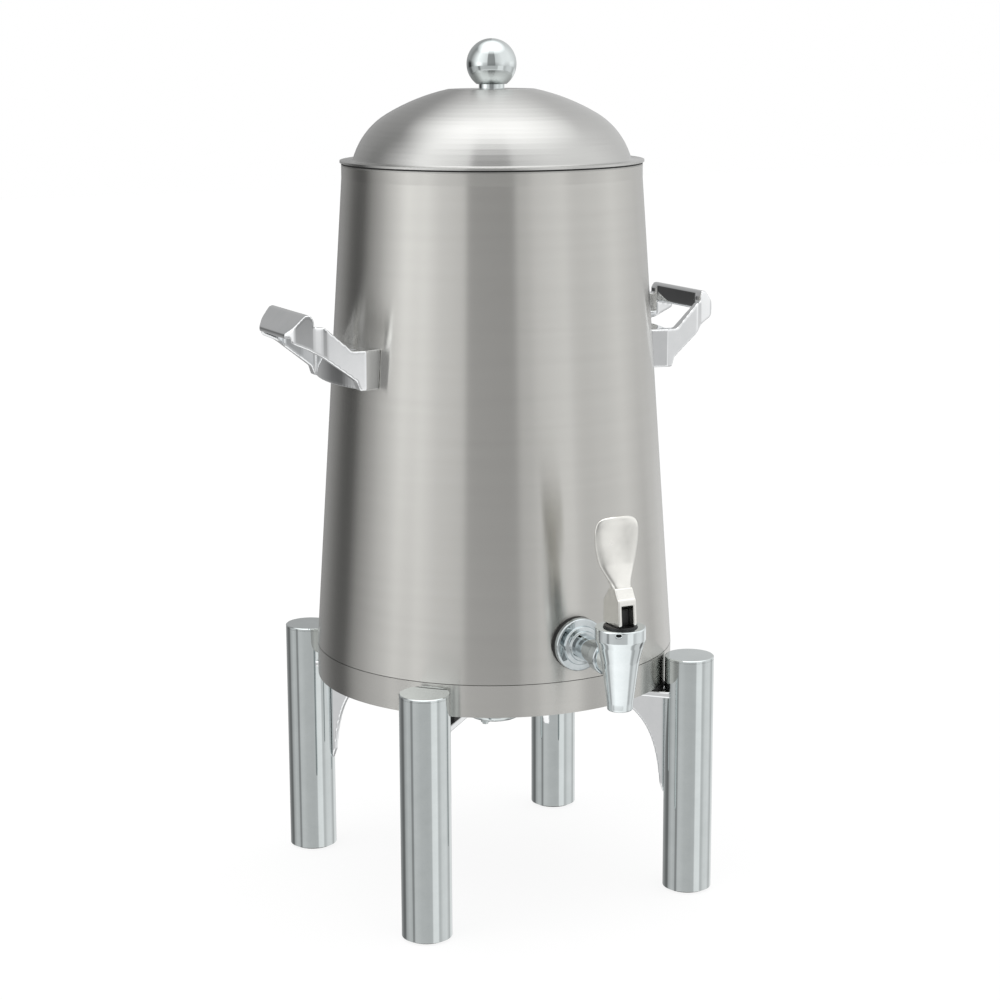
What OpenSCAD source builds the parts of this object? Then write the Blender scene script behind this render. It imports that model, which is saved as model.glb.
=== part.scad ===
// Coffee urn: an insulated, tapered dispenser on four tube legs, with a lift-off domed lid,
// two looped handles and a lever faucet. The origin is on the urn's axis at floor level.
// The faucet faces -Y, and the handles are on -X and +X.

/* [Body] */
// Diameter at the foot of the body
base_d = 266; // [240:1:300]
// Diameter at the rim
rim_d = 218.4; // [200:0.2:236]
// Floor to the body's underside
base_height = 158; // [140:1:180]
// Height of the band round the foot of the body
ring_h = 23.2; // [18:0.2:30]
// Height of the shell, from the seam to the rim
shell_h = 353.5; // [300:0.5:420]
// Height of the straight band below the rim
rim_band_h = 9.5; // [5:0.5:15]
// Thickness of the outer shell
shell_t = 1; // [0.8:0.1:1.4]
// Width of the insulating jacket between shell and vessel
jacket_gap = 10; // [8:0.5:12]
// Thickness of the inner vessel
vessel_t = 1; // [0.8:0.1:1.4]
// Vessel's floor above the body's underside
vessel_lift = 31; // [30:0.5:34]

/* [Lid] */
// Rim to the flat on top of the lid
lid_h = 52.8; // [46:0.2:60]
// Radius of the lid's shallow crown
crown_r = 149.5; // [140:0.5:165]
// Radius of the lid's shoulder
knuckle_r = 54.3; // [48:0.1:60]
// Where the shoulder would reach its full width
dome_r = 102.8; // [101:0.1:105]
// Diameter of the lid's flange
lid_flange_d = 220.6; // [220:0.2:224]
// Thickness of the lid's two skins
lid_t = 1; // [0.8:0.1:1.2]
// Depth of the lid's plug below the rim
plug_depth = 14; // [10:0.5:20]
// Diameter of the ball knob
knob_d = 36; // [30:0.5:42]

/* [Legs] */
// Diameter of a leg's tube
leg_d = 36; // [32:0.5:38]
// Top of a leg above the body's underside
leg_rise = 21.5; // [12:0.5:24]
// Gap between a leg and the body's band
leg_gap = 0.7; // [0.4:0.1:3]
// Wall of a leg's tube
leg_t = 1.5; // [1.2:0.1:2.5]
// Thickness of the cap on top of a leg
leg_cap_t = 2; // [1.5:0.1:3]
// Thickness of the pad under a leg
foot_pad_t = 1.5; // [1:0.5:4]
// Width of the bracket's top plate
bracket_w = 30; // [29:0.5:32]
// Thickness of the bracket's top plate
bracket_t = 5; // [4:0.5:6]
// Thickness of the bracket's web
web_t = 6; // [5:0.5:7]
// Thickness of the spacer between bracket and body
spacer_t = 4; // [3:0.5:5]

/* [Handles] */
// Height of a handle's foot above the seam
handle_up = 202.8; // [150:0.5:240]
// Height of a handle's foot against the body
foot_h = 28.2; // [26:0.2:32]
// How far the foot stands out at its lower edge
foot_out = 11.6; // [10:0.2:14]
// Reach of the grip beyond the body
grip_out = 55.5; // [50:0.5:60]
// Rise of the grip's top above the foot's lower edge
grip_rise = 53.7; // [50:0.1:58]
// Length of the grip
grip_w = 63; // [60:0.5:68]
// Width of the handle's foot
foot_w = 96; // [92:0.5:100]
// Width of the finger gap at the grip
gap_w = 57; // [54:0.5:60]

/* [Faucet] */
// Height of the outlet above the seam
outlet_up = 26.3; // [25:0.1:32]
// Body wall to the faucet's vertical axis
faucet_reach = 61.8; // [58:0.2:70]
// Diameter of the flange on the body
flange_d = 38; // [36:0.2:42]
// Diameter of the faucet's rim
faucet_rim_d = 34.8; // [34:0.2:37]
// Faucet's rim above the outlet's axis
faucet_rise = 26.6; // [26:0.1:28]
// Spout's mouth below the outlet's axis
spout_drop = 32; // [31:0.5:36]
// Outer diameter of the spout's mouth
spout_d = 17.4; // [17:0.2:19]
// Height of the lever above the faucet's rim
lever_h = 75.4; // [72:0.1:80]
// Widest part of the lever's paddle
paddle_w = 33.4; // [28:0.2:36]
// How far the lever swings forward, in degrees
lever_swing = 30; // [20:1:32]
// Lift of the valve for each radian of swing
cam_rate = 6; // [5:0.1:6.4]

/* [Fits] */
// Radial clearance of a pin or thread in its bore
fit = 0.05; // [0.02:0.01:0.1]
// Gap between pieces that rest on each other
seat = 0.1; // [0.05:0.01:0.2]
// Facets on a full circle
facets = 96; // [64:8:128]

/* [Hidden] */
$fn = facets;

// Finishes
brushed = "silver";
chrome = "gainsboro";
satin = "whitesmoke";
black = "dimgray";

// Cuts run past the faces they open by this much
over = 1;

// Body
base_r = base_d / 2;
rim_r = rim_d / 2;
seam_gap = 0.5;
seam_z = base_height + ring_h + seam_gap;
rim_flange_t = 1;
shell_top_z = seam_z + shell_h;
rim_z = shell_top_z + rim_flange_t;
band_z = rim_z - rim_band_h;
wall_in = shell_t + jacket_gap;
vessel_floor_z = base_height + vessel_lift;
vessel_corner_r = 3;
mouth_r = rim_r - wall_in - vessel_t;
ring_t = 1.2;
lip_h = 6.8;
lip_in = 0.75;
plate_t = 1.2;
plate_skirt_h = 10;
dish_r = 84;
dish_depth = 18.5;
dish_floor_r = 26;

// Vacuum cap under the body
cap_r = 20;
cap_h = 23;
cap_flat_r = 8;
cap_rise = 3.8;
cap_t = 1.2;
cap_corner_r = 3;
cap_screw_r = 1.5;
cap_screw_head_r = 2.2;
cap_screw_head_h = 1.4;
cap_screw_post_r = 3.4;
cap_screw_out = 10;
cap_screw_side = -70;

// Lid
gasket_t = 1;
gasket_z = rim_z + seat;
hem_z = gasket_z + gasket_t + seat;
hem_w = 1;
liner_in = 1.6;
plug_r = mouth_r - liner_in;
plug_corner_r = 3;
lid_top_z = rim_z + lid_h;
flange_top_z = hem_z + lid_t + lid_t / 2;
flat_r = 32;
crown_z = lid_top_z - sqrt(pow(crown_r, 2) - pow(flat_r, 2));
knuckle_x = dome_r - knuckle_r;
knuckle_z = crown_z + sqrt(pow(crown_r - knuckle_r, 2) - pow(knuckle_x, 2));
tangent_angle = asin(knuckle_x / (crown_r - knuckle_r));
cove_angle = 70;
cove_r = 3;
knob_r = knob_d / 2;
knob_neck_r = 9.2;
knob_neck_h = 3.6;
knob_sink = 0.1;
knob_z = lid_top_z + knob_r - knob_sink;
knob_screw_r = 4;
knob_hole_depth = 14;
knob_screw_head_r = 7.4;
knob_screw_head_h = 5.3;
knob_washer_r = 10;
knob_washer_t = 1;

// Legs
leg_h = base_height + leg_rise;
leg_r = leg_d / 2;
leg_axis = base_r + leg_gap + leg_r;
leg_angles = [-45, 45, 135, 225];
cap_edge = 0.6;
plug_len = 8;
pad_in = 2.5;
pad_r = leg_r - pad_in;
bracket_top_z = base_height - spacer_t;
bracket_z = bracket_top_z - bracket_t;
bracket_in = 88;
spacer_in = 92;
screw_r = 3;
screw_clear = 0.3;
screw_head_r = 4.2;
screw_head_h = 2.6;
screw_along = 112;
screw_edge = 5.5;
screw_aside = bracket_w / 2 - screw_edge;
weld_nut_r = 6;
weld_nut_h = 7;
// The web's lower edge is a superellipse about the point where the urn's axis meets the floor
web_power = 4.95;
web_foot_w = 2;
web_out = leg_axis - leg_r - web_foot_w;
web_lap = 0.2;
web_up = bracket_z + web_lap;
web_foot_z = 71;
web_run_out = 9;
web_steps = 18;

// Handles
handle_z = seam_z + handle_up;
foot_top_z = handle_z + foot_h;
foot_r = shell_r(handle_z) + foot_out;
grip_r = shell_r(handle_z) + grip_out;
grip_top_z = handle_z + grip_rise;
arm_len = grip_r - foot_r;
handle_edge_r = 1.8;
handle_corner_r = 7;
gap_corner_r = 5;
// The arms' and grip's section, from the foot's lower corner round to the top of the arm: shares of
// the arm's length outward from the foot, of the grip's rise, and of the edge radius
section_shares = [
    [-0.11, 0, 0], [-0.05, 0.13, 0], [0.23, 0.305, 0], [0.465, 0.45, 0], [0.65, 0.545, 0],
    [0.86, 0.62, 0], [0.95, 0.665, 1.4], [0.99, 0.745, 2], [0.7, 1, 2], [0.613, 1, 0.8],
    [0.567, 0.92, 0], [0.567, 0.847, 0.4], [0.442, 0.847, 0.8],
];
// Its plan from the body outward: shares of the arm's length, and of the foot's or grip's width
foot_plan_shares = [[-0.5, 0.9], [-0.2, 0.98], [0.453, 0.885], [0.59, 0.76]];
grip_plan_shares = [[0.863, 1], [1.05, 0.6]];
// The finger gap: shares of the arm's length, and of the foot's half width
gap_plan_shares = [[-0.3, 0.8], [0.442, 0.78]];
gap_grip_share = 0.59;
gap_roof_shares = [0.736, 0.68];
handle_screw_r = 3;
handle_screw_angle = 11;
handle_screw_up = 13;
handle_screw_depth = 9;
handle_screw_head_r = 5;
handle_screw_head_h = 3.6;
head_seat = 0.6;

// Faucet, along the outlet's axis: distances are from the urn's axis
outlet_z = seam_z + outlet_up;
outlet_wall = shell_r(outlet_z);
boss_r = 12;
shank_r = 8.3;
shank_bore_r = 5.6;
shoulder_r = 8.8;
flange_r = flange_d / 2;
faucet_gasket_t = 1.4;
flange_at = shell_r(outlet_z - flange_r) + faucet_gasket_t;
flange_len = 9;
// The flange's steps: shares of its width beyond the shoulder, of its length, and of the edge radius
flange_shares = [
    [1, 0, 0], [1, 0.425, 1], [0.522, 0.5, 0], [0.459, 0.7, 0.33], [0.217, 0.775, 0], [0.152, 1, 0.33],
];
flange_edge_r = 1.7;
faucet_out = outlet_wall + faucet_reach;
nut_r = 11.8;
nut_len = 9.5;
nut_lip = 2.2;
nut_edge_r = 1.5;
tail_r = 10.2;
tail_len = 19.5;
tail_at = faucet_out - tail_len;
tail_washer_t = 1.5;
collar_t = 2.4;
collar_at = tail_at - seat - tail_washer_t - seat - collar_t;
nut_at = collar_at - seat - nut_lip;
lock_nut_r = 16;
lock_nut_t = 7;
inner_washer_r = 15.5;
inner_washer_t = 4;
washer_at = outlet_wall - wall_in - vessel_t - inner_washer_t;
lock_nut_at = washer_at - seat - lock_nut_t;
shank_stick = 3;
shank_tip = lock_nut_at - shank_stick;

// Faucet, along its vertical axis
faucet_top_z = outlet_z + faucet_rise;
spout_z = outlet_z - spout_drop;
faucet_rim_r = faucet_rim_d / 2;
spout_r = spout_d / 2;
faucet_rim_h = 8.6;
neck_in = 1.6;
neck_down = 12.9;
waist_r = 13.1;
waist_up = 2.7;
spout_flare = 0.45;
spout_straight = 5.3;
chamber_r = 9.6;
chamber_floor_z = outlet_z - 10;
thread_r = 11.6;
thread_depth = 11;
spout_bore_r = 6.2;
vent_r = 1;
vent_w = 4;
vent_angle = -33;
vent_down = 2.2;
bonnet_h = 1.4;
bonnet_edge = 0.6;
stem_r = 3;
bonnet_top_z = faucet_top_z + bonnet_h;
bonnet_foot_z = faucet_top_z - thread_depth;

// Valve: the cup shuts the spout, the spring presses it down, and the lever's cam lifts it
cup_r = 8.7;
cup_h = 10;
cup_top_z = chamber_floor_z + seat + cup_h;
button_r = 5.4;
button_h = 2.6;
button_up = 3;
stem_head_w = 8;
stem_head_r = 4;
pin_r = 1.5;
pin_up = 8.2;
pin_z = bonnet_top_z + pin_up;
spring_r = 5;
wire_r = 0.6;
spring_turns = 4.5;
spring_ring_sides = 6;
spring_steps = 14;
spring_foot_z = cup_top_z + seat + wire_r;
spring_head_z = bonnet_foot_z - seat - wire_r;

// Lever: u is forward of the pin, w is above it
cheek_gap = 8.8;
yoke_w = 13.8;
yoke_front = 9.4;
yoke_back = 11.8;
cam_seat = pin_up - seat;
cam_steps = 8;
yoke_shoulder = 10.4;
yoke_back_up = 8.2;
slot_roof = 6.6;
collar_up = 18;
yoke_edge = 1.4;
paddle_lean = 6.3;
paddle_root_t = 7.7;
// The paddle from root to tip: shares of the lever's height, of its lean back, of the root's thickness
// and of the paddle's half width
paddle_shares = [
    [0.263, -0.08, 1, 0.39], [0.395, 0.5, 0.74, 0.574], [0.535, 0.92, 0.6, 0.84],
    [0.684, 1, 0.52, 0.965], [0.81, 0.97, 0.468, 1], [0.912, 0.94, 0.41, 0.965],
    [0.965, 0.93, 0.36, 0.86], [0.99, 0.92, 0.32, 0.62], [1, 0.92, 0.3, 0],
];
paddle_spans = 3;
lever_top = faucet_top_z + lever_h - pin_z;
pin_len = yoke_w - 2 * fit;

// Radius of the shell's outside at height z
function shell_r(z) = z > band_z ? rim_r
    : rim_r + (base_r - rim_r) * (band_z - z) / (band_z - seam_z);

function unit(v) = v / norm(v);

// Points of a fillet of radius r at corner b, between a and c
function fillet_arc(a, b, c, r, n) =
    let (u = unit(a - b))
    let (v = unit(c - b))
    let (half = acos(u * v) / 2)
    let (m = b + unit(u + v) * r / sin(half))
    let (s = b + u * r / tan(half) - m)
    let (e = b + v * r / tan(half) - m)
    let (from = atan2(s[1], s[0]))
    let (sweep = (atan2(e[1], e[0]) - from + 540) % 360 - 180)
    [for (i = [0:n]) m + r * [cos(from + sweep * i / n), sin(from + sweep * i / n)]];

// An outline whose points are [x, y, fillet radius]
function rounded(p, n = 5) = [
    for (i = [0:len(p) - 1])
    let (a = p[(i + len(p) - 1) % len(p)])
    let (b = p[i])
    let (c = p[(i + 1) % len(p)])
    each b[2] > 0 ? fillet_arc([a[0], a[1]], [b[0], b[1]], [c[0], c[1]], b[2], n)
        : [[b[0], b[1]]]
];

function arc_points(c, r, from, to, n) =
    [for (i = [0:n]) c + r * [sin(from + (to - from) * i / n), cos(from + (to - from) * i / n)]];

function mirrored(p) = [for (i = [len(p) - 1:-1:0]) [-p[i][0], p[i][1]]];

// Turns a child so that its +Z runs along the outlet, away from the urn's axis
module along_outlet() {
    translate([0, 0, outlet_z]) rotate([90, 0, 0]) children();
}

module at_faucet() {
    translate([0, -faucet_out, 0]) children();
}

module turned(points) {
    rotate_extrude() polygon(points);
}

// The space inside the shell's outer surface, grown by a clearance
module shell_form(clear = 0) {
    $fn = 4 * facets;
    turned([
        [0, seam_z - over],
        [shell_r(seam_z) + clear, seam_z - over],
        [shell_r(seam_z) + clear, seam_z],
        [rim_r + clear, band_z],
        [rim_r + clear, shell_top_z],
        [0, shell_top_z],
    ]);
}

// The space inside the vessel, shrunk by a clearance
module vessel_space(clear = 0) {
    inside = wall_in + vessel_t + clear;
    $fn = 4 * facets;
    turned([
        [0, vessel_floor_z],
        [shell_r(vessel_floor_z) - inside, vessel_floor_z],
        [rim_r - inside, band_z],
        [rim_r - inside, rim_z + over],
        [0, rim_z + over],
    ]);
}

module boss_hole() {
    along_outlet() cylinder(r = boss_r + fit, h = base_r + over);
}

module outer_shell() {
    color(brushed) difference() {
        turned([
            [base_r - shell_t, seam_z],
            [base_r, seam_z],
            [rim_r, band_z],
            [rim_r, shell_top_z],
            [rim_r - shell_t, shell_top_z],
            [rim_r - shell_t, band_z],
        ]);
        boss_hole();
        handle_screw_places() cylinder(r = handle_screw_r + fit, h = base_r);
    }
}

module inner_vessel() {
    floor_r = shell_r(vessel_floor_z) - wall_in;
    neck_r = rim_r - wall_in;
    color(brushed) difference() {
        turned(rounded([
            [0, vessel_floor_z, 0],
            [floor_r, vessel_floor_z, vessel_corner_r],
            [neck_r, band_z, 0],
            [neck_r, shell_top_z, 0],
            [rim_r, shell_top_z, 0],
            [rim_r, rim_z, 0],
            [mouth_r, rim_z, 0],
            [mouth_r, band_z, 0],
            [floor_r - vessel_t, vessel_floor_z + vessel_t, vessel_corner_r - vessel_t],
            [0, vessel_floor_z + vessel_t, 0],
        ]));
        boss_hole();
    }
}

module base_ring() {
    lip_r = base_r - shell_t - lip_in;
    color(brushed) turned([
        [base_r - ring_t, base_height],
        [base_r, base_height],
        [base_r, seam_z - seam_gap],
        [lip_r, seam_z - seam_gap],
        [lip_r, seam_z + lip_h],
        [lip_r - ring_t, seam_z + lip_h],
        [lip_r - ring_t, seam_z - seam_gap - ring_t],
        [base_r - ring_t, seam_z - seam_gap - ring_t],
    ]);
}

module base_plate() {
    plate_r = base_r - ring_t - seat;
    color(chrome) difference() {
        union() {
            turned([
                [0, base_height - dish_depth],
                [dish_floor_r, base_height - dish_depth],
                [dish_r, base_height],
                [plate_r, base_height],
                [plate_r, base_height + plate_skirt_h],
                [plate_r - plate_t, base_height + plate_skirt_h],
                [plate_r - plate_t, base_height + plate_t],
                [dish_r, base_height + plate_t],
                [dish_floor_r, base_height - dish_depth + plate_t],
                [0, base_height - dish_depth + plate_t],
            ]);
            bracket_screw_places()
                translate([0, 0, base_height]) cylinder(r = weld_nut_r, h = plate_t + weld_nut_h);
        }
        bracket_screw_places()
            translate([0, 0, base_height - over])
                cylinder(r = screw_r + fit, h = plate_t + weld_nut_h + 2 * over);
        cap_screw_place()
            translate([0, 0, base_height - dish_depth - over])
                cylinder(r = cap_screw_r + fit, h = plate_t + 2 * over);
    }
}

// Steel bush that joins the vessel's wall to the shell's, so that the jacket stays sealed
module outlet_boss() {
    color(chrome) difference() {
        intersection() {
            along_outlet() cylinder(r = boss_r, h = base_r + over);
            shell_form();
        }
        vessel_space();
        along_outlet() cylinder(r = shank_r + fit, h = base_r + over);
    }
}

module cap_screw_place() {
    rotate([0, 0, cap_screw_side]) translate([0, -cap_screw_out, 0]) children();
}

// Cup that covers the tip of the vacuum jacket's pump-out tube
module vacuum_cap() {
    top_z = base_height - dish_depth - seat;
    foot_z = top_z - cap_h;
    color(chrome) difference() {
        union() {
            turned(rounded([
                [0, foot_z, 0],
                [cap_flat_r, foot_z, cap_corner_r],
                [cap_r, foot_z + cap_rise, cap_corner_r],
                [cap_r, top_z, 0],
                [cap_r - cap_t, top_z, 0],
                [cap_r - cap_t, foot_z + cap_rise + cap_t, cap_corner_r - cap_t],
                [cap_flat_r, foot_z + cap_t, 0],
                [0, foot_z + cap_t, 0],
            ]));
            cap_screw_place() translate([0, 0, foot_z]) cylinder(r = cap_screw_post_r, h = cap_h);
        }
        cap_screw_place() translate([0, 0, foot_z - over])
            cylinder(r = cap_screw_r + fit, h = cap_h + 2 * over);
    }
}

module vacuum_cap_screw() {
    foot_z = base_height - dish_depth - seat - cap_h;
    color(chrome) cap_screw_place() {
        translate([0, 0, foot_z - seat - cap_screw_head_h])
            cylinder(r = cap_screw_head_r, h = cap_screw_head_h);
        translate([0, 0, foot_z - seat])
            cylinder(r = cap_screw_r, h = cap_h + 2 * seat + 2 * plate_t);
    }
}

// The lid's dome from its flat top to the cove above its flange, seen from a depth below its skin
function dome_line(depth) =
    let (crown = crown_r - depth)
    let (knuckle = knuckle_r - depth)
    let (from = acos((lid_top_z - depth - crown_z) / crown))
    concat(
        arc_points([0, crown_z], crown, from, tangent_angle, 8),
        arc_points([knuckle_x, knuckle_z], knuckle, tangent_angle, cove_angle, 9)
    );

// Where the dome's last slope meets height z
function cove_x(depth, z) =
    let (k = knuckle_r - depth)
    knuckle_x + k * sin(cove_angle) + (knuckle_z + k * cos(cove_angle) - z) / tan(cove_angle);

module lid_shell() {
    lip_r = lid_flange_d / 2;
    under_z = flange_top_z - lid_t;
    outer_cove = [cove_x(0, flange_top_z), flange_top_z];
    inner_cove = [cove_x(lid_t, under_z), under_z];
    outer = dome_line(0);
    inner = dome_line(lid_t);
    color(brushed) turned(concat(
        [[knob_screw_r + fit, lid_top_z]],
        outer,
        fillet_arc(outer[len(outer) - 1], outer_cove, [lip_r, flange_top_z], cove_r / 2, 4),
        [[lip_r, flange_top_z], [lip_r, hem_z], [lip_r - hem_w, hem_z], [lip_r - hem_w, under_z]],
        [inner_cove],
        [for (i = [len(inner) - 1:-1:0]) inner[i]],
        [[knob_screw_r + fit, lid_top_z - lid_t]]
    ));
}

// Pan that closes the lid from below, its rim held in the lid's hem
module lid_liner() {
    floor_z = rim_z - plug_depth;
    pan_t = lid_t / 2;
    rim = lid_flange_d / 2 - hem_w - seat;
    color(brushed) turned(rounded([
        [0, floor_z, 0],
        [plug_r, floor_z, plug_corner_r],
        [plug_r, hem_z, 0],
        [rim, hem_z, 0],
        [rim, hem_z + pan_t - seat, 0],
        [plug_r - pan_t, hem_z + pan_t - seat, 0],
        [plug_r - pan_t, floor_z + pan_t, plug_corner_r - pan_t],
        [0, floor_z + pan_t, 0],
    ]));
}

module lid_gasket() {
    color(black) difference() {
        translate([0, 0, gasket_z]) cylinder(r = rim_r - gasket_t / 2, h = gasket_t);
        translate([0, 0, gasket_z - over])
            cylinder(r = mouth_r + gasket_t, h = gasket_t + 2 * over);
    }
}

module lid_knob() {
    color(chrome) difference() {
        union() {
            intersection() {
                translate([0, 0, knob_z]) sphere(r = knob_r);
                translate([0, 0, lid_top_z + knob_neck_h])
                    cylinder(r = knob_r + over, h = 2 * knob_r);
            }
            translate([0, 0, lid_top_z + seat]) cylinder(r = knob_neck_r, h = 2 * knob_neck_h);
        }
        translate([0, 0, lid_top_z - over])
            cylinder(r = knob_screw_r + fit, h = knob_hole_depth + over);
    }
}

module knob_washer() {
    under = lid_top_z - lid_t - seat / 2;
    color(chrome) difference() {
        translate([0, 0, under - knob_washer_t]) cylinder(r = knob_washer_r, h = knob_washer_t);
        translate([0, 0, under - knob_washer_t - over])
            cylinder(r = knob_screw_r + fit, h = knob_washer_t + 2 * over);
    }
}

module knob_screw() {
    under = lid_top_z - lid_t - seat / 2 - knob_washer_t - seat / 2;
    color(chrome) {
        translate([0, 0, under - knob_screw_head_h])
            cylinder(r = knob_screw_head_r, h = knob_screw_head_h, $fn = 6);
        translate([0, 0, under])
            cylinder(r = knob_screw_r, h = knob_hole_depth + lid_t + knob_washer_t - over);
    }
}

module at_leg(side) {
    rotate([0, 0, leg_angles[side]]) translate([leg_axis, 0, 0]) children();
}

module leg_tube(side) {
    foot = foot_pad_t + seat;
    tube_h = leg_h - leg_cap_t - seat - foot;
    color(chrome) at_leg(side) difference() {
        translate([0, 0, foot]) cylinder(r = leg_r, h = tube_h);
        translate([0, 0, foot - over]) cylinder(r = leg_r - leg_t, h = tube_h + 2 * over);
    }
}

module leg_cap(side) {
    disc_z = leg_h - leg_cap_t;
    color(chrome) at_leg(side) turned([
        [0, disc_z - plug_len],
        [leg_r - leg_t - fit, disc_z - plug_len],
        [leg_r - leg_t - fit, disc_z],
        [leg_r, disc_z],
        [leg_r, leg_h - cap_edge],
        [leg_r - cap_edge, leg_h],
        [0, leg_h],
    ]);
}

module foot_pad(side) {
    color(black) at_leg(side) turned([
        [0, 0],
        [pad_r - cap_edge, 0],
        [pad_r, cap_edge],
        [pad_r, foot_pad_t],
        [leg_r - leg_t - fit, foot_pad_t],
        [leg_r - leg_t - fit, foot_pad_t + plug_len],
        [0, foot_pad_t + plug_len],
    ]);
}

function web_point(a) =
    [web_out * pow(cos(a), 2 / web_power), web_up * pow(sin(a), 2 / web_power)];

// Angles on the web's superellipse where it leaves the leg and where it reaches the plate's end
function web_angle_at_z(z) = asin(pow(z / web_up, web_power / 2));
function web_angle_at_x(x) = acos(pow(x / web_out, web_power / 2));

// Cast bracket: a plate under the body and a curved web down the inside of the leg
module leg_bracket(side) {
    from = web_angle_at_z(web_foot_z + web_run_out);
    to = web_angle_at_x(bracket_in);
    leg_face = leg_axis - leg_r - seat;
    edge = [for (i = [0:web_steps]) web_point(from + (to - from) * i / web_steps)];
    color(chrome) rotate([0, 0, leg_angles[side]]) difference() {
        union() {
            translate([bracket_in, -bracket_w / 2, bracket_z])
                cube([leg_axis - leg_r / 2 - bracket_in, bracket_w, bracket_t]);
            translate([0, web_t / 2, 0]) rotate([90, 0, 0]) linear_extrude(web_t)
                polygon(concat(
                    [[leg_face, web_foot_z]],
                    edge,
                    [[bracket_in, bracket_top_z - bracket_t / 2],
                     [leg_face, bracket_top_z - bracket_t / 2]]
                ));
        }
        translate([leg_axis, 0, 0]) cylinder(r = leg_r + seat, h = leg_h);
        for (y = [-screw_aside, screw_aside])
            translate([screw_along, y, bracket_z - over]) {
                cylinder(r = screw_r + screw_clear, h = bracket_t + 2 * over);
                cylinder(r = screw_head_r + screw_clear, h = screw_head_h + over);
            }
    }
}

module leg_spacer(side) {
    color(black) rotate([0, 0, leg_angles[side]]) difference() {
        intersection() {
            translate([spacer_in, -bracket_w / 2, bracket_top_z + seat / 2])
                cube([base_r - spacer_in, bracket_w, spacer_t - seat]);
            cylinder(r = base_r - seat, h = base_height);
        }
        for (y = [-screw_aside, screw_aside])
            translate([screw_along, y, bracket_top_z - over])
                cylinder(r = screw_r + screw_clear, h = spacer_t + 2 * over);
    }
}

module bracket_screw_places() {
    for (angle = leg_angles)
        for (y = [-screw_aside, screw_aside])
            rotate([0, 0, angle]) translate([screw_along, y, 0]) children();
}

module bracket_screws() {
    color(chrome) bracket_screw_places() {
        translate([0, 0, bracket_z - seat]) cylinder(r = screw_head_r, h = screw_head_h);
        translate([0, 0, bracket_z])
            cylinder(r = screw_r, h = base_height - bracket_z + weld_nut_h);
    }
}

// The arms and grip from the side, with x outward from the urn's axis
function handle_section() =
    let (inside = foot_r - 2 * foot_out)
    concat(
        [[inside, handle_z, 0]],
        [for (p = section_shares)
            [foot_r + p[0] * arm_len, handle_z + p[1] * grip_rise, p[2] * handle_edge_r]],
        [[foot_r, foot_top_z, 0], [inside, foot_top_z, 0]]
    );

// Half of the handle's plan, from the foot to the grip
function handle_plan() = concat(
    [for (p = foot_plan_shares)
        [foot_r + p[0] * arm_len, p[1] * foot_w / 2, p[0] > 0 ? handle_corner_r : 0]],
    [for (p = grip_plan_shares)
        [foot_r + p[0] * arm_len, p[1] * grip_w / 2, p[1] == 1 ? handle_corner_r : 0]]
);

// Both halves of a plan whose points are [x, y, fillet radius]
function both_sides(half) =
    concat(half, [for (i = [len(half) - 1:-1:0]) [half[i][0], -half[i][1], half[i][2]]]);

// The space for the fingers between the foot, the arms and the grip
module finger_gap() {
    inner = foot_r + gap_grip_share * arm_len;
    beyond = grip_r + arm_len;
    roof_in = handle_z + gap_roof_shares[0] * grip_rise;
    roof_out = handle_z + gap_roof_shares[1] * grip_rise;
    start = foot_r - 2 * foot_out;
    side = [for (p = gap_plan_shares)
        [foot_r + p[0] * arm_len, p[1] * foot_w / 2, p[0] > 0 ? gap_corner_r : 0]];
    difference() {
        intersection() {
            linear_extrude(2 * grip_top_z) polygon(rounded(both_sides(concat(
                side,
                [[inner, gap_w / 2, gap_corner_r / 2], [beyond, gap_w / 2, 0]]
            ))));
            translate([0, foot_w, 0]) rotate([90, 0, 0]) linear_extrude(2 * foot_w) polygon([
                [start, handle_z - foot_h], [beyond, handle_z - foot_h],
                [beyond, roof_out], [grip_r, roof_out], [inner, roof_in],
                [inner, grip_top_z + foot_h], [start, grip_top_z + foot_h],
            ]);
        }
        cylinder(r = foot_r, h = 2 * grip_top_z);
    }
}

module handle() {
    difference() {
        intersection() {
            union() {
                translate([0, foot_w, 0]) rotate([90, 0, 0])
                    linear_extrude(2 * foot_w) polygon(rounded(handle_section(), 4));
                translate([0, 0, handle_z]) cylinder(r = foot_r, h = foot_h);
            }
            linear_extrude(2 * grip_top_z) polygon(rounded(both_sides(handle_plan())));
        }
        finger_gap();
        shell_form(seat);
        for (angle = [-handle_screw_angle, handle_screw_angle])
            rotate([0, 0, angle]) translate([0, 0, handle_z + handle_screw_up])
                rotate([0, 90, 0]) cylinder(
                    r = handle_screw_r + fit,
                    h = shell_r(handle_z + handle_screw_up) + handle_screw_depth
                );
    }
}

module right_handle() {
    color(chrome) handle();
}

module left_handle() {
    color(chrome) mirror([1, 0, 0]) handle();
}

module handle_screw_places() {
    for (side = [0, 180])
        for (angle = [-handle_screw_angle, handle_screw_angle])
            rotate([0, 0, side + angle])
                translate([0, 0, handle_z + handle_screw_up]) rotate([0, 90, 0]) children();
}

// Screws from inside the jacket, through the shell and into the handles' feet
module handle_screws() {
    wall = shell_r(handle_z + handle_screw_up);
    head = wall - shell_t - head_seat - handle_screw_head_h;
    color(chrome) handle_screw_places() {
        translate([0, 0, head]) cylinder(r = handle_screw_head_r, h = handle_screw_head_h);
        translate([0, 0, head])
            cylinder(r = handle_screw_r, h = wall + handle_screw_depth - over - head);
    }
}

// Saddle-shaped seal between the body and the flange
module faucet_gasket() {
    color(black) difference() {
        along_outlet() difference() {
            cylinder(r = flange_r + fit, h = flange_at - seat);
            translate([0, 0, -over]) cylinder(r = shank_r + fit, h = flange_at + 2 * over);
        }
        shell_form(seat);
    }
}

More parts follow.
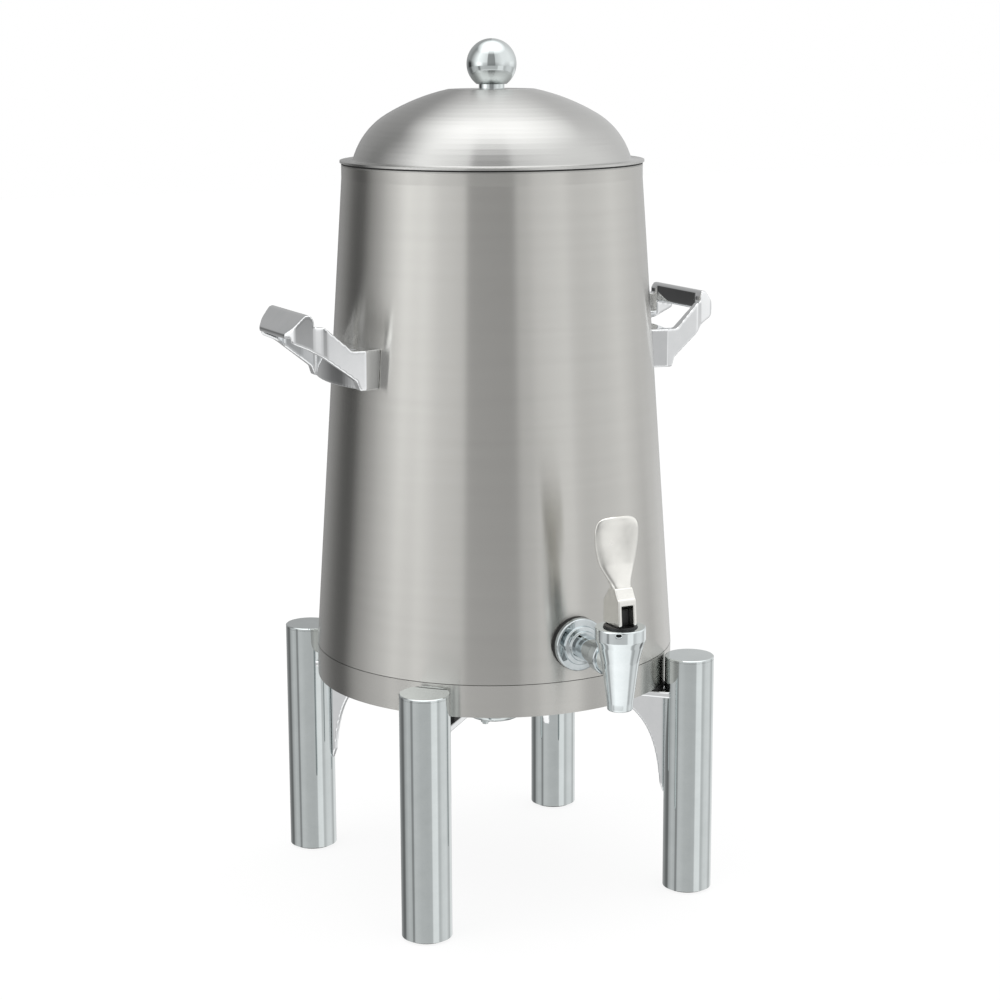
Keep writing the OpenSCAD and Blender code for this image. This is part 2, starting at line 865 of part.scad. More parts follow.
module faucet_flange() {
    bore = shank_r + fit;
    color(chrome) along_outlet() turned(rounded(concat(
        [[bore, flange_at, 0]],
        [for (p = flange_shares)
            [shoulder_r + p[0] * (flange_r - shoulder_r), flange_at + p[1] * flange_len,
             p[2] * flange_edge_r]],
        [[bore, flange_at + flange_len, 0]]
    )));
}

module faucet_shank() {
    shoulder_at = flange_at + flange_len + seat;
    collar_end = collar_at + collar_t;
    color(chrome) along_outlet() turned([
        [shank_bore_r, shank_tip],
        [shank_r, shank_tip],
        [shank_r, shoulder_at],
        [shoulder_r, shoulder_at],
        [shoulder_r, collar_at],
        [tail_r - seat, collar_at],
        [tail_r - seat, collar_end],
        [shank_bore_r, collar_end],
    ]);
}

module inner_washer() {
    color(black) intersection() {
        along_outlet() difference() {
            translate([0, 0, washer_at]) cylinder(r = inner_washer_r, h = 2 * inner_washer_t);
            cylinder(r = shank_r + fit, h = base_r);
        }
        vessel_space(seat);
    }
}

module lock_nut() {
    color(chrome) along_outlet() difference() {
        translate([0, 0, lock_nut_at]) cylinder(r = lock_nut_r, h = lock_nut_t, $fn = 6);
        translate([0, 0, lock_nut_at - over])
            cylinder(r = shank_r + fit, h = lock_nut_t + 2 * over);
    }
}

// Ring nut that draws the faucet's tail on to the shank
module coupling_nut() {
    end = nut_at + nut_len;
    color(chrome) along_outlet() turned(rounded([
        [shoulder_r + fit, nut_at, 0],
        [nut_r, nut_at, nut_edge_r],
        [nut_r, end, nut_edge_r],
        [tail_r + fit, end, 0],
        [tail_r + fit, nut_at + nut_lip, 0],
        [shoulder_r + fit, nut_at + nut_lip, 0],
    ]));
}

module tail_washer() {
    color(black) along_outlet() difference() {
        translate([0, 0, tail_at - seat - tail_washer_t])
            cylinder(r = tail_r - seat, h = tail_washer_t);
        cylinder(r = shank_bore_r + fit, h = faucet_out);
    }
}

// Slot with round ends through the rim, which lets air into the chamber
module vent_slot() {
    side = vent_w / 2 - vent_r;
    linear_extrude(faucet_rim_r + over) {
        square([2 * side, 2 * vent_r], center = true);
        for (x = [-side, side]) translate([x, 0]) circle(r = vent_r);
    }
}

module faucet_body() {
    neck_r = faucet_rim_r - neck_in;
    neck_z = faucet_top_z - neck_down;
    rim_foot_z = faucet_top_z - faucet_rim_h;
    color(chrome) difference() {
        union() {
            at_faucet() turned(rounded([
                [0, spout_z, 0],
                [spout_r, spout_z, spout_flare],
                [spout_r + spout_flare, spout_z + spout_straight, 0],
                [waist_r, outlet_z + waist_up, 0],
                [neck_r, neck_z, 0],
                [faucet_rim_r, rim_foot_z, neck_in],
                [faucet_rim_r, faucet_top_z, spout_flare],
                [0, faucet_top_z, 0],
            ]));
            along_outlet() translate([0, 0, tail_at]) cylinder(r = tail_r, h = tail_len);
        }
        at_faucet() {
            translate([0, 0, spout_z - over])
                cylinder(r = spout_bore_r, h = chamber_floor_z - spout_z + 2 * over);
            translate([0, 0, chamber_floor_z])
                cylinder(r = chamber_r, h = bonnet_foot_z - chamber_floor_z + over);
            translate([0, 0, bonnet_foot_z - seat])
                cylinder(r = thread_r + fit, h = thread_depth + over);
            rotate([0, 0, vent_angle]) translate([0, 0, faucet_top_z - vent_down])
                rotate([90, 0, 0]) vent_slot();
        }
        along_outlet() translate([0, 0, tail_at - over])
            cylinder(r = shank_bore_r, h = tail_len - chamber_r / 2 + over);
    }
}

module faucet_bonnet() {
    color(black) at_faucet() turned(rounded([
        [stem_r + fit, bonnet_foot_z, 0],
        [thread_r, bonnet_foot_z, 0],
        [thread_r, bonnet_top_z, bonnet_edge],
        [stem_r + fit, bonnet_top_z, 0],
    ]));
}

// Rod with a button at its foot, and a flat eye that the lever's pin passes through
module valve_stem() {
    button_z = chamber_floor_z + seat + button_up;
    head_z = bonnet_top_z + seat;
    color(black) at_faucet() difference() {
        union() {
            translate([0, 0, button_z]) cylinder(r = button_r, h = button_h);
            translate([0, 0, button_z]) cylinder(r = stem_r, h = head_z - button_z + over);
            translate([-stem_head_w / 2, -stem_head_r, head_z])
                cube([stem_head_w, 2 * stem_head_r, pin_z - head_z]);
            translate([-stem_head_w / 2, 0, pin_z]) rotate([0, 90, 0])
                cylinder(r = stem_head_r, h = stem_head_w);
        }
        translate([-yoke_w, 0, pin_z]) rotate([0, 90, 0])
            cylinder(r = pin_r + fit, h = 2 * yoke_w);
    }
}

module seat_cup() {
    foot_z = chamber_floor_z + seat;
    pocket_z = foot_z + button_up - fit;
    pocket_top_z = pocket_z + button_h + 2 * fit;
    color(black) at_faucet() turned(rounded([
        [0, foot_z, 0],
        [cup_r - button_h / 2, foot_z, button_h / 2],
        [cup_r, foot_z + button_up, 0],
        [cup_r, cup_top_z, button_h / 2],
        [stem_r + fit, cup_top_z, 0],
        [stem_r + fit, pocket_top_z, 0],
        [button_r + fit, pocket_top_z, 0],
        [button_r + fit, pocket_z, 0],
        [0, pocket_z, 0],
    ]));
}

function spring_ring(turn) =
    let (angle = 360 * turn * spring_turns)
    let (z = spring_foot_z + (spring_head_z - spring_foot_z) * turn)
    [for (k = [0:spring_ring_sides - 1])
        let (b = 360 * k / spring_ring_sides)
        [(spring_r + wire_r * cos(b)) * cos(angle), (spring_r + wire_r * cos(b)) * sin(angle),
         z + wire_r * sin(b)]];

// Helical return spring, one unbroken wire
module stem_spring() {
    rings = ceil(spring_steps * spring_turns);
    sides = spring_ring_sides;
    points = [for (i = [0:rings]) each spring_ring(i / rings)];
    walls = [
        for (i = [0:rings - 1])
        for (k = [0:sides - 1])
        let (a = i * sides + k)
        let (b = i * sides + (k + 1) % sides)
        each [[a, a + sides, b + sides], [a, b + sides, b]]
    ];
    caps = [
        for (k = [1:sides - 2])
        each [[0, k, k + 1], [rings * sides, rings * sides + k + 1, rings * sides + k]]
    ];
    color(satin) at_faucet() polyhedron(points, concat(walls, caps));
}

// The cam's outline at swing a: its height under the pin grows evenly, so it is an involute
function cam_point(a) =
    let (h = cam_seat + cam_rate * a * PI / 180)
    [h * sin(a) + cam_rate * cos(a), -h * cos(a) + cam_rate * sin(a)];

function cam_line() = [for (i = [0:cam_steps]) cam_point(lever_swing * i / cam_steps)];

// A smooth line through the points p, with n spans from each to the next
function smooth(p, n) = concat(
    [for (i = [0:len(p) - 2])
        let (a = p[max(i - 1, 0)])
        let (d = p[min(i + 2, len(p) - 1)])
        for (k = [0:n - 1])
            let (t = k / n)
            let (m = (p[i + 1] - a) / 2)
            let (e = (d - p[i]) / 2)
            (2 * pow(t, 3) - 3 * t * t + 1) * p[i] + (pow(t, 3) - 2 * t * t + t) * m
                + (3 * t * t - 2 * pow(t, 3)) * p[i + 1] + (pow(t, 3) - t * t) * e],
    [p[len(p) - 1]]
);

// The paddle from the front
module paddle_outline() {
    wide = paddle_w / 2;
    half = concat(
        [[paddle_shares[0][3] * wide, yoke_shoulder]],
        smooth([for (p = paddle_shares) [p[3] * wide, p[0] * lever_top]], paddle_spans)
    );
    polygon(concat(half, mirrored(half)));
}

// One face of the paddle from the side: 1 for the front and -1 for the back
function paddle_face(side) = smooth(
    [for (p = paddle_shares)
        [side * p[2] * paddle_root_t / 2 - p[1] * paddle_lean, p[0] * lever_top]],
    paddle_spans
);

// The paddle from the side: it leans back toward the body and thins to its tip
module paddle_side() {
    front = paddle_face(1);
    back = paddle_face(-1);
    polygon(concat(
        [[front[0][0], yoke_shoulder]],
        front,
        [for (i = [len(back) - 1:-1:0]) back[i]],
        [[back[0][0], yoke_shoulder]]
    ));
}

// Yoke in the plane across its pin
module yoke_side() {
    neck_u = -paddle_shares[0][1] * paddle_lean;
    polygon(concat(
        [[-yoke_back, yoke_edge - cam_seat], [yoke_edge - yoke_back, -cam_seat]],
        cam_line(),
        [[yoke_front, yoke_shoulder],
         [yoke_front - yoke_edge, yoke_shoulder + yoke_edge],
         [neck_u + paddle_root_t / 2, collar_up],
         [neck_u - paddle_root_t / 2, collar_up],
         [-yoke_back, yoke_back_up]]
    ));
}

// Turns a side outline, drawn with x forward and y up, into the lever's frame
module lever_plate(width) {
    translate([-width / 2, 0, 0]) rotate([90, 0, -90]) translate([0, 0, -width])
        linear_extrude(width) children();
}

module faucet_lever() {
    color(satin) at_faucet() translate([0, 0, pin_z]) difference() {
        union() {
            lever_plate(yoke_w) yoke_side();
            intersection() {
                lever_plate(paddle_w + over) paddle_side();
                translate([0, faucet_rim_d, 0]) rotate([90, 0, 0])
                    linear_extrude(2 * faucet_rim_d) paddle_outline();
            }
        }
        translate([-cheek_gap / 2, -faucet_rim_d, -faucet_rim_d])
            cube([cheek_gap, 2 * faucet_rim_d, faucet_rim_d + slot_roof]);
        translate([-yoke_w, 0, 0]) rotate([0, 90, 0]) cylinder(r = pin_r + fit / 2, h = 2 * yoke_w);
    }
}

module lever_pin() {
    color(chrome) at_faucet() translate([-pin_len / 2, 0, pin_z]) rotate([0, 90, 0])
        cylinder(r = pin_r, h = pin_len);
}

outer_shell();
inner_vessel();
base_ring();
base_plate();
outlet_boss();
vacuum_cap();
vacuum_cap_screw();
lid_shell();
lid_liner();
lid_gasket();
lid_knob();
knob_screw();
knob_washer();
leg_tube(0);  // leg_tube_front_right
leg_tube(1);  // leg_tube_rear_right
leg_tube(2);  // leg_tube_rear_left
leg_tube(3);  // leg_tube_front_left
leg_cap(0);  // leg_cap_front_right
leg_cap(1);  // leg_cap_rear_right
leg_cap(2);  // leg_cap_rear_left
leg_cap(3);  // leg_cap_front_left
foot_pad(0);  // foot_pad_front_right
foot_pad(1);  // foot_pad_rear_right
foot_pad(2);  // foot_pad_rear_left
foot_pad(3);  // foot_pad_front_left
leg_bracket(0);  // leg_bracket_front_right
leg_bracket(1);  // leg_bracket_rear_right
leg_bracket(2);  // leg_bracket_rear_left
leg_bracket(3);  // leg_bracket_front_left
leg_spacer(0);  // leg_spacer_front_right
leg_spacer(1);  // leg_spacer_rear_right
leg_spacer(2);  // leg_spacer_rear_left
leg_spacer(3);  // leg_spacer_front_left
bracket_screws();
left_handle();
right_handle();
handle_screws();
faucet_gasket();
faucet_flange();
faucet_shank();
inner_washer();
lock_nut();
coupling_nut();
tail_washer();
faucet_body();
faucet_bonnet();
valve_stem();
seat_cup();
stem_spring();
faucet_lever();
lever_pin();
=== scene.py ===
import math

import bmesh
import bpy
from mathutils import Matrix, Vector


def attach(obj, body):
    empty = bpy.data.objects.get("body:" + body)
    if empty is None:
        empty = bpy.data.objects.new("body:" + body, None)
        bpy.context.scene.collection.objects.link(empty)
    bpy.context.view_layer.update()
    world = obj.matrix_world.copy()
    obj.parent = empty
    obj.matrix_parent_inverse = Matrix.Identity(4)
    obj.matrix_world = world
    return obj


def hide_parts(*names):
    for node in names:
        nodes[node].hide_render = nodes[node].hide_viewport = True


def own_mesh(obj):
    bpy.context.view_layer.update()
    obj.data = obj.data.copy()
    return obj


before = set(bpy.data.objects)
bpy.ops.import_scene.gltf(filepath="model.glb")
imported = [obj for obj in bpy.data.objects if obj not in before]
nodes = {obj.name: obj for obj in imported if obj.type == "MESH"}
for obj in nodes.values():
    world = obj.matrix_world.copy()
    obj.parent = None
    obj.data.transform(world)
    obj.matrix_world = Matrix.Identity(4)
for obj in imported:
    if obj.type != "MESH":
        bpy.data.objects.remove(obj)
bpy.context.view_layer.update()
scene = bpy.context.scene
mm = 0.001
print("frame loaded:", len(nodes), "nodes")


# ---------- small helpers ----------

def linear(hexText):
    # sRGB hex to the linear colour that shaders use
    out = []
    for i in (1, 3, 5):
        v = int(hexText[i:i + 2], 16) / 255
        out.append(v / 12.92 if v <= 0.04045 else ((v + 0.055) / 1.055) ** 2.4)
    return (*out, 1.0)


def addNode(tree, kind, links=None, sockets=None, **settings):
    # one node, its settings, its socket values and what feeds it
    node = tree.nodes.new(kind)
    for key, value in settings.items():
        setattr(node, key, value)
    for key, value in (sockets or {}).items():
        node.inputs[key].default_value = value
    for key, source in (links or {}).items():
        tree.links.new(source, node.inputs[key])
    return node


def rampStops(node, stops):
    elements = node.color_ramp.elements
    while len(elements) > 1:
        elements.remove(elements[-1])
    elements[0].position = stops[0][0]
    elements[0].color = stops[0][1]
    for place, colour in stops[1:]:
        elements.new(place).color = colour


def freshMaterial(name):
    material = bpy.data.materials.new(name)
    material.use_nodes = True
    tree = material.node_tree
    tree.nodes.clear()
    return material, tree


def finishMaterial(tree, shader):
    addNode(tree, "ShaderNodeOutputMaterial", links={"Surface": shader.outputs[0]})


# ---------- materials ----------

def turnedCoordinates(tree, roundScale, lineScale):
    # a seamless point for marks that run round the vertical axis: slow round it, quick across them
    place = addNode(tree, "ShaderNodeTexCoord").outputs["Object"]
    parts = addNode(tree, "ShaderNodeSeparateXYZ", links={"Vector": place})
    flat = addNode(tree, "ShaderNodeVectorMath", operation="MULTIPLY", links={0: place},
                   sockets={1: (1, 1, 0)})
    radius = addNode(tree, "ShaderNodeVectorMath", operation="LENGTH", links={0: flat.outputs[0]})
    around = addNode(tree, "ShaderNodeVectorMath", operation="NORMALIZE", links={0: flat.outputs[0]})
    slow = addNode(tree, "ShaderNodeVectorMath", operation="SCALE", links={0: around.outputs[0]},
                   sockets={"Scale": roundScale})
    across = addNode(tree, "ShaderNodeMath", operation="SUBTRACT",
                     links={0: radius.outputs["Value"], 1: parts.outputs["Z"]})
    quick = addNode(tree, "ShaderNodeMath", operation="MULTIPLY", links={0: across.outputs[0]},
                    sockets={1: lineScale})
    lines = addNode(tree, "ShaderNodeCombineXYZ", links={"Z": quick.outputs[0]})
    return addNode(tree, "ShaderNodeVectorMath", operation="ADD",
                   links={0: slow.outputs[0], 1: lines.outputs[0]}).outputs[0]


# how belt marks are drawn, the same for each brushed piece
beltMarks = {"lineDetail": 3.0, "lineRoughness": 0.6, "bandDetail": 2.0, "lineShare": 0.6,
             "darkAt": 0.45, "lightAt": 1.0, "reliefMm": 0.02}


def brushedStainless(name, settings):
    # 304 stainless, belt brushed round the axis: fine lines that stretch every reflection upright
    material, tree = freshMaterial(name)
    fine = turnedCoordinates(tree, settings["roundScale"], 1 / (settings["lineMm"] * mm))
    broad = turnedCoordinates(tree, settings["roundScale"] / 2, 1 / (settings["bandMm"] * mm))
    lines = addNode(tree, "ShaderNodeTexNoise", links={"Vector": fine},
                    sockets={"Scale": 1.0, "Detail": beltMarks["lineDetail"],
                             "Roughness": beltMarks["lineRoughness"]})
    bands = addNode(tree, "ShaderNodeTexNoise", links={"Vector": broad},
                    sockets={"Scale": 1.0, "Detail": beltMarks["bandDetail"]})
    mixed = addNode(tree, "ShaderNodeMath", operation="MULTIPLY_ADD",
                    links={0: lines.outputs["Fac"], 2: bands.outputs["Fac"]},
                    sockets={1: beltMarks["lineShare"]})
    tone = addNode(tree, "ShaderNodeValToRGB", links={"Fac": mixed.outputs[0]})
    rampStops(tone, [(beltMarks["darkAt"], linear(settings["dark"])),
                     (beltMarks["lightAt"], linear(settings["light"]))])
    rough = addNode(tree, "ShaderNodeMapRange", links={"Value": lines.outputs["Fac"]},
                    sockets={"To Min": settings["roughness"] - settings["spread"],
                             "To Max": settings["roughness"] + settings["spread"]})
    bump = addNode(tree, "ShaderNodeBump", links={"Height": lines.outputs["Fac"]},
                   sockets={"Strength": settings["bump"], "Distance": beltMarks["reliefMm"] * mm})
    tangent = addNode(tree, "ShaderNodeTangent", direction_type="RADIAL", axis="Z")
    shader = addNode(tree, "ShaderNodeBsdfPrincipled",
                     links={"Base Color": tone.outputs[0], "Roughness": rough.outputs[0],
                            "Normal": bump.outputs[0], "Tangent": tangent.outputs[0]},
                     sockets={"Metallic": 1.0, "Anisotropic": settings["anisotropy"],
                              "Anisotropic Rotation": settings["turn"]})
    finishMaterial(tree, shader)
    return material


# how plate and polish are drawn, the same for each bright piece
plateMarks = {"hazeDetail": 4.0, "hazeRoughness": 0.65, "waveDetail": 1.0, "darkAt": 0.3,
              "lightAt": 0.7, "clearAt": 0.35, "hazyAt": 0.75, "reliefMm": 0.05}


def platedMetal(name, settings):
    # bright plate or polish: clear reflections, a faint haze of wiping marks, slight waves
    material, tree = freshMaterial(name)
    place = addNode(tree, "ShaderNodeTexCoord").outputs["Object"]
    haze = addNode(tree, "ShaderNodeTexNoise", links={"Vector": place},
                   sockets={"Scale": 1 / (settings["hazeMm"] * mm), "Detail": plateMarks["hazeDetail"],
                            "Roughness": plateMarks["hazeRoughness"]})
    waves = addNode(tree, "ShaderNodeTexNoise", links={"Vector": place},
                    sockets={"Scale": 1 / (settings["waveMm"] * mm),
                             "Detail": plateMarks["waveDetail"]})
    tone = addNode(tree, "ShaderNodeValToRGB", links={"Fac": haze.outputs["Fac"]})
    rampStops(tone, [(plateMarks["darkAt"], linear(settings["dark"])),
                     (plateMarks["lightAt"], linear(settings["light"]))])
    rough = addNode(tree, "ShaderNodeMapRange", links={"Value": haze.outputs["Fac"]},
                    sockets={"From Min": plateMarks["clearAt"], "From Max": plateMarks["hazyAt"],
                             "To Min": settings["roughness"],
                             "To Max": settings["roughness"] + settings["spread"]})
    bump = addNode(tree, "ShaderNodeBump", links={"Height": waves.outputs["Fac"]},
                   sockets={"Strength": settings["bump"], "Distance": plateMarks["reliefMm"] * mm})
    shader = addNode(tree, "ShaderNodeBsdfPrincipled",
                     links={"Base Color": tone.outputs[0], "Roughness": rough.outputs[0],
                            "Normal": bump.outputs[0]},
                     sockets={"Metallic": 1.0})
    finishMaterial(tree, shader)
    return material


# how moulded black pieces are drawn
mouldMarks = {"grainDetail": 3.0, "dustDetail": 2.0, "darkAt": 0.35, "lightAt": 0.75, "spread": 0.08,
              "reliefMm": 0.05}


def blackCompound(name, settings):
    # moulded rubber or nylon: near black, fine grain, dust in the low spots
    material, tree = freshMaterial(name)
    place = addNode(tree, "ShaderNodeTexCoord").outputs["Object"]
    grain = addNode(tree, "ShaderNodeTexNoise", links={"Vector": place},
                    sockets={"Scale": 1 / (settings["grainMm"] * mm),
                             "Detail": mouldMarks["grainDetail"]})
    dust = addNode(tree, "ShaderNodeTexNoise", links={"Vector": place},
                   sockets={"Scale": 1 / (settings["dustMm"] * mm), "Detail": mouldMarks["dustDetail"]})
    tone = addNode(tree, "ShaderNodeValToRGB", links={"Fac": dust.outputs["Fac"]})
    rampStops(tone, [(mouldMarks["darkAt"], linear(settings["dark"])),
                     (mouldMarks["lightAt"], linear(settings["light"]))])
    rough = addNode(tree, "ShaderNodeMapRange", links={"Value": grain.outputs["Fac"]},
                    sockets={"To Min": settings["roughness"] - mouldMarks["spread"],
                             "To Max": settings["roughness"] + mouldMarks["spread"]})
    bump = addNode(tree, "ShaderNodeBump", links={"Height": grain.outputs["Fac"]},
                   sockets={"Strength": settings["bump"], "Distance": mouldMarks["reliefMm"] * mm})
    shader = addNode(tree, "ShaderNodeBsdfPrincipled",
                     links={"Base Color": tone.outputs[0], "Roughness": rough.outputs[0],
                            "Normal": bump.outputs[0]},
                     sockets={"IOR": settings["ior"]})
    finishMaterial(tree, shader)
    return material


# 304 stainless sheet, belt brushed: upright streaks of the room and no clear picture of it
# real belt lines are 0.1 to 0.2 mm apart, too fine for the render, so they are drawn 0.5 mm apart
brushedBody = brushedStainless("brushedStainlessBody", {
    "lineMm": 0.5, "bandMm": 7.0, "roundScale": 1.6, "dark": "#C6C5C1", "light": "#C9C8C4",
    "roughness": 0.25, "spread": 0.01, "bump": 0.01, "anisotropy": 1.0, "turn": 0.25})
# the same sheet spun to a dome and brushed round it: one broad soft highlight
brushedLid = brushedStainless("brushedStainlessLid", {
    "lineMm": 0.5, "bandMm": 5.0, "roundScale": 1.6, "dark": "#C6C6C4", "light": "#CACAC8",
    "roughness": 0.25, "spread": 0.01, "bump": 0.01, "anisotropy": 0.95, "turn": 0.25})
# 304 stainless as it comes from the mill, inside and under the body: dull and even grey
millStainless = brushedStainless("millStainlessInside", {
    "lineMm": 1.2, "bandMm": 14.0, "roundScale": 2.0, "dark": "#A9A9A6", "light": "#BEBEBB",
    "roughness": 0.38, "spread": 0.06, "bump": 0.1, "anisotropy": 0.4, "turn": 0.25})
# 304 stainless, machine polished: clear, faintly cool streaks of the room
polishedSteel = platedMetal("polishedStainless", {
    "hazeMm": 14.0, "waveMm": 30.0, "dark": "#D5DBDB", "light": "#DCE2E2",
    "roughness": 0.03, "spread": 0.015, "bump": 0.006})
# die cast zinc, chrome plated: bright and clear, with the slow waves of a casting
castChrome = platedMetal("chromePlatedCasting", {
    "hazeMm": 12.0, "waveMm": 16.0, "dark": "#EDEFF0", "light": "#F4F5F6",
    "roughness": 0.03, "spread": 0.02, "bump": 0.02})
# forged brass, chrome plated: bright, white and slightly cool
chromeBrass = platedMetal("chromePlatedBrass", {
    "hazeMm": 9.0, "waveMm": 12.0, "dark": "#E3EAEB", "light": "#EBF1F2",
    "roughness": 0.03, "spread": 0.02, "bump": 0.015})
# turned brass, chrome plated straight over the tool marks; its colour is a little darker than the other
# chrome, partly chrome's real lower reflectance and partly painted shade
chromeFittings = platedMetal("chromePlatedFittings", {
    "hazeMm": 6.0, "waveMm": 9.0, "dark": "#BAC1C3", "light": "#CCD2D4",
    "roughness": 0.03, "spread": 0.02, "bump": 0.02})
# cast lever, satin nickel plate: pale, warm and softly shining
satinNickel = platedMetal("satinNickelLever", {
    "hazeMm": 6.0, "waveMm": 3.0, "dark": "#ECEBE6", "light": "#F3F2ED",
    "roughness": 0.24, "spread": 0.04, "bump": 0.03})
# drawn stainless wire: grey with a tight shine along it
springWire = platedMetal("drawnSpringWire", {
    "hazeMm": 2.0, "waveMm": 1.0, "dark": "#A5A6A8", "light": "#BFC0C2",
    "roughness": 0.22, "spread": 0.08, "bump": 0.1})
# EPDM rubber, moulded: near black and dull, with dust in the low spots
blackRubber = blackCompound("blackEpdmRubber", {
    "grainMm": 0.6, "dustMm": 12.0, "dark": "#131313", "light": "#1E1E1E",
    "roughness": 0.62, "bump": 0.25, "ior": 1.5})
# nylon, moulded: black with a soft shine
blackNylon = blackCompound("blackMouldedNylon", {
    "grainMm": 0.8, "dustMm": 9.0, "dark": "#101010", "light": "#191919",
    "roughness": 0.38, "bump": 0.15, "ior": 1.53})
# silicone rubber, moulded: deep grey, smooth and a little moist to the eye
siliconeCup = blackCompound("blackSiliconeCup", {
    "grainMm": 1.0, "dustMm": 6.0, "dark": "#171717", "light": "#222222",
    "roughness": 0.5, "bump": 0.1, "ior": 1.41})
print("materials made:", len(bpy.data.materials))


def finishOf(obj, material):
    obj.data.materials.clear()
    obj.data.materials.append(material)


corners = ("front_right", "rear_right", "rear_left", "front_left")
nodeFinishes = {
    "outer_shell": brushedBody, "base_ring": brushedBody, "lid_shell": brushedLid,
    "inner_vessel": millStainless, "base_plate": millStainless, "lid_liner": millStainless,
    "outlet_boss": millStainless, "lid_gasket": blackRubber, "lid_knob": polishedSteel,
    "knob_screw": polishedSteel, "knob_washer": polishedSteel, "vacuum_cap": polishedSteel,
    "vacuum_cap_screw": polishedSteel, "bracket_screws": polishedSteel,
    "handle_screws": polishedSteel, "left_handle": castChrome, "right_handle": castChrome,
    "faucet_gasket": blackRubber, "inner_washer": blackRubber, "tail_washer": blackRubber,
    "faucet_flange": chromeFittings, "faucet_shank": chromeFittings, "lock_nut": chromeFittings,
    "coupling_nut": chromeFittings, "faucet_body": chromeBrass, "faucet_bonnet": blackNylon,
    "valve_stem": blackNylon, "seat_cup": siliconeCup, "stem_spring": springWire,
    "faucet_lever": satinNickel, "lever_pin": polishedSteel,
}
for corner in corners:
    nodeFinishes["leg_tube_" + corner] = polishedSteel
    nodeFinishes["leg_cap_" + corner] = polishedSteel
    nodeFinishes["foot_pad_" + corner] = blackRubber
    nodeFinishes["leg_bracket_" + corner] = castChrome
    nodeFinishes["leg_spacer_" + corner] = blackRubber
for name, material in nodeFinishes.items():
    finishOf(nodes[name], material)
print("carried-over nodes finished:", len(nodeFinishes))


# ---------- pieces ----------

def newPiece(name, mesh, material, body, slotName, *replaced):
    piece = bpy.data.objects.new(name, mesh)
    scene.collection.objects.link(piece)
    finishOf(piece, material)
    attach(piece, body)
    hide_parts(*replaced)
    return piece


# how each casting is skinned over its solid
castingSettings = {"weldMm": 0.004, "rollFactor": 0.5}


def weldedCopy(name):
    # the solid's own surface as one closed skin, without its stored normals
    mesh = nodes[name].data.copy()
    work = bmesh.new()
    work.from_mesh(mesh)
    bmesh.ops.remove_doubles(work, verts=work.verts, dist=castingSettings["weldMm"] * mm)
    bmesh.ops.recalc_face_normals(work, faces=work.faces)
    work.to_mesh(mesh)
    work.free()
    for layer in ("custom_normal", "sharp_edge", "sharp_face"):
        if layer in mesh.attributes:
            mesh.attributes.remove(mesh.attributes[layer])
    return mesh


def softCasting(name, node, settings, material, body, slotName):
    # a casting: even skin over the solid, its edges rolled by smoothing, as polishing leaves them
    piece = newPiece(name, weldedCopy(node), material, body, slotName, node)
    skin = piece.modifiers.new("evenSkin", "REMESH")
    skin.mode = "VOXEL"
    skin.voxel_size = settings["skinMm"] * mm
    skin.use_smooth_shade = True
    roll = piece.modifiers.new("rolledEdges", "SMOOTH")
    roll.factor = castingSettings["rollFactor"]
    roll.iterations = settings["rolls"]
    return piece


# side handles: die cast loops, chrome plated
handleSettings = {"skinMm": 0.7, "rolls": 4}
softCasting("leftHandleCasting", "left_handle", handleSettings, castChrome, "urn", "cast_trim")
softCasting("rightHandleCasting", "right_handle", handleSettings, castChrome, "urn", "cast_trim")
print("handles cast")

# leg brackets: plate under the body and curved web, one casting
bracketSettings = {"skinMm": 0.9, "rolls": 3}
for corner in corners:
    softCasting("bracketCasting_" + corner, "leg_bracket_" + corner, bracketSettings, castChrome,
                "urn", "cast_trim")
print("brackets cast")

# faucet body: forged brass with a soft root where the tail joins
faucetSettings = {"skinMm": 0.5, "rolls": 4}
softCasting("faucetBodyForging", "faucet_body", faucetSettings, chromeBrass, "urn", "plated_brass")
print("faucet body forged")

# lever: a yoke over the stem and a crowned paddle; u is forward of the pin, w is above it, in mm
leverSettings = {
    "pin": (0, -0.193, 0.2442),
    "yokeHalf": 6.9, "slotHalf": 4.4, "slotRoof": 6.6, "slotFoot": -14, "slotReach": 16,
    "edgeMm": 0.8, "edgeSegments": 3, "edgeDegrees": 24,
    "camRate": 6.0, "camRest": 8.1, "camDegrees": (0, 7.5, 15, 22.5, 30),
    "yokeBack": [(-11.8, 8.2), (-11.8, -6.7), (-10.4, -8.1)],
    "yokeFront": [(9.4, 10.4), (8.0, 11.8), (4.35, 18.0), (-3.35, 18.0)],
    # height, spine forward, thickness and half width of each ring of the paddle
    "paddle": [(12.0, 0.9, 6.9, 6.2), (17.3, 0.5, 7.7, 6.9), (21.5, -1.4, 6.7, 8.1),
               (26.0, -3.2, 5.7, 10.2), (30.5, -4.8, 5.1, 12.3), (35.2, -5.8, 4.6, 14.1),
               (45.0, -6.3, 4.0, 16.1), (53.3, -6.1, 3.6, 16.8), (59.0, -5.9, 3.2, 16.2),
               (62.6, -5.9, 2.8, 14.4), (64.8, -5.8, 2.4, 11.0), (65.8, -5.8, 1.4, 6.0)],
    "ringPoints": 48, "spans": 5, "sideSquare": 0.7, "faceSquare": 0.8,
    "crown": 1.3, "crownFrom": 17, "crownOver": 18,     # the face swells over this height
}


def leverPoint(x, u, w):
    px, py, pz = leverSettings["pin"]
    return (px + x * mm, py - u * mm, pz + w * mm)


def camPoint(degrees):
    a = math.radians(degrees)
    rate = leverSettings["camRate"]
    h = leverSettings["camRest"] + rate * a
    return (h * math.sin(a) + rate * math.cos(a), rate * math.sin(a) - h * math.cos(a))


